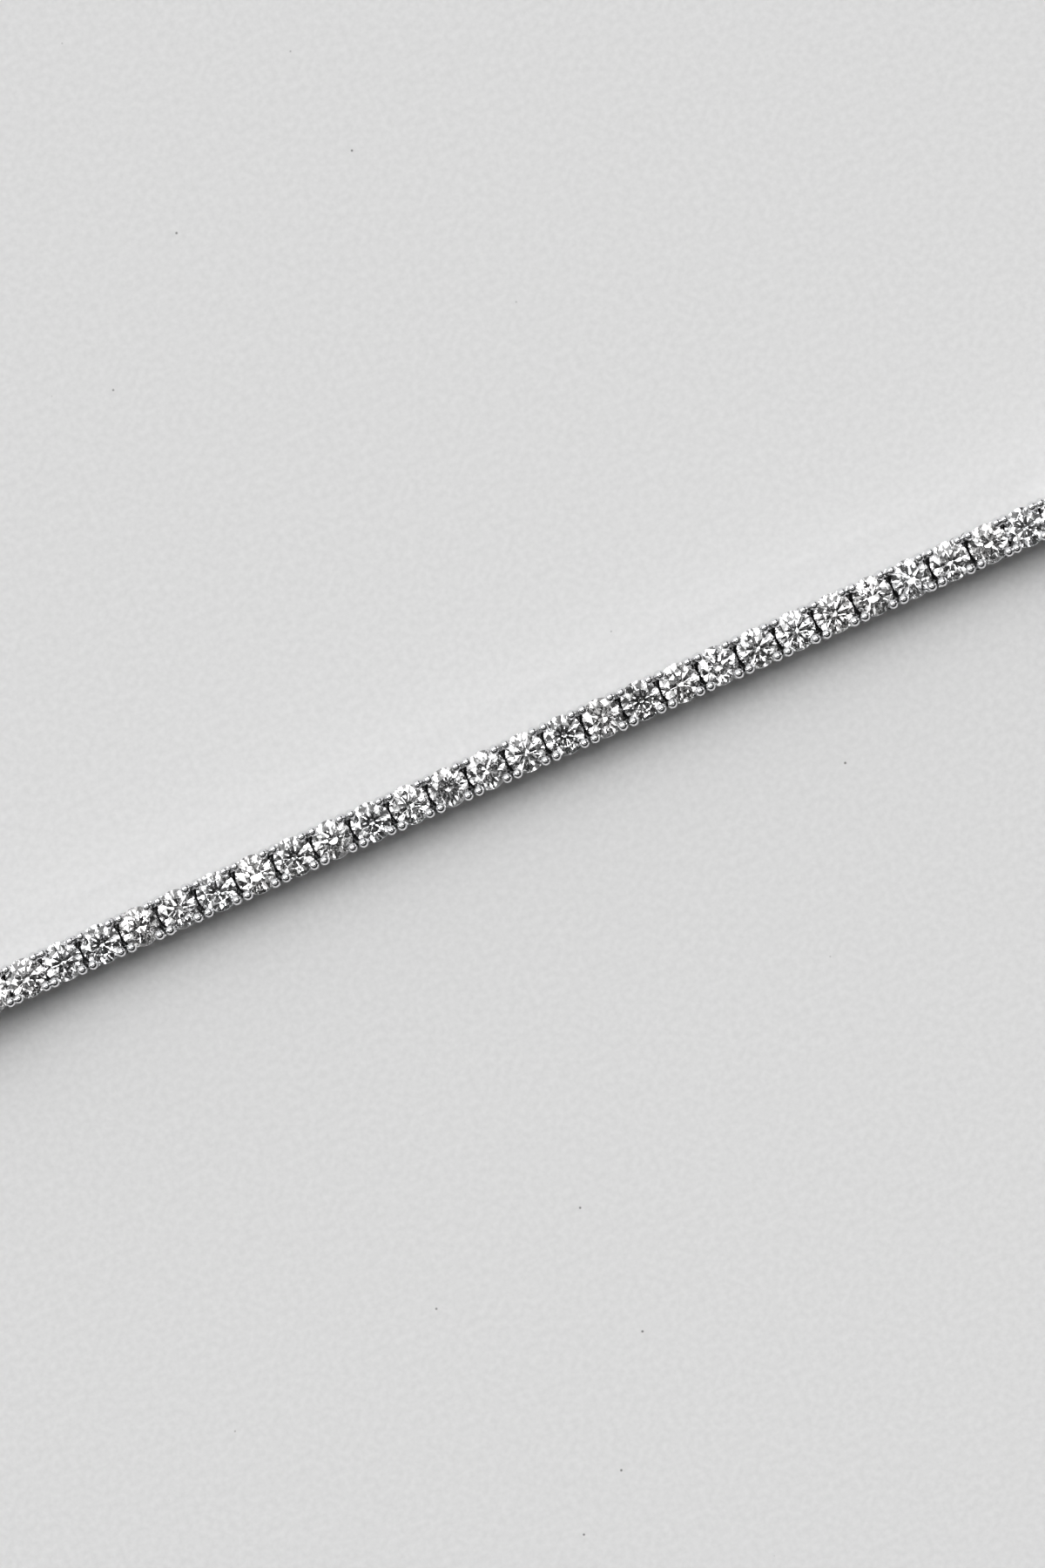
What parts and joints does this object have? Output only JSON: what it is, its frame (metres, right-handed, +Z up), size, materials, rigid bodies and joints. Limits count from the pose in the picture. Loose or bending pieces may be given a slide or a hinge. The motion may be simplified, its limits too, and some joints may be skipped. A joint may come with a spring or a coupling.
{
  "type": "tennis bracelet",
  "caption": "Closed bracelet of small round brilliants in four-prong white-metal settings, hinged in one row, with a plain clasp; lying flattened with one run on top of the other.",
  "frame": {"origin": "on the surface it lies on, under the middle of the bracelet", "axes": "+X along the bracelet, +Y across it, +Z up"},
  "size_m": [0.0882, 0.0026, 0.0072],
  "materials": {
    "white_gold": "polished rhodium-plated white gold",
    "diamond": "colourless round brilliants, cut and polished"
  },
  "bodies": {
    "root": {"settings_top": "white_gold", "stones_top": "diamond", "settings_ramp_right": "white_gold", "stones_ramp_right": "diamond", "setting_upper_fold_right": "white_gold", "stone_upper_fold_right": "diamond", "setting_lower_fold_right": "white_gold", "stone_lower_fold_right": "diamond", "clasp": "white_gold", "settings_lower": "white_gold", "stones_lower": "diamond", "setting_lower_fold_left": "white_gold", "stone_lower_fold_left": "diamond", "setting_upper_fold_left": "white_gold", "stone_upper_fold_left": "diamond", "settings_ramp_left": "white_gold", "stones_ramp_left": "diamond"}
  },
  "joints": []
}
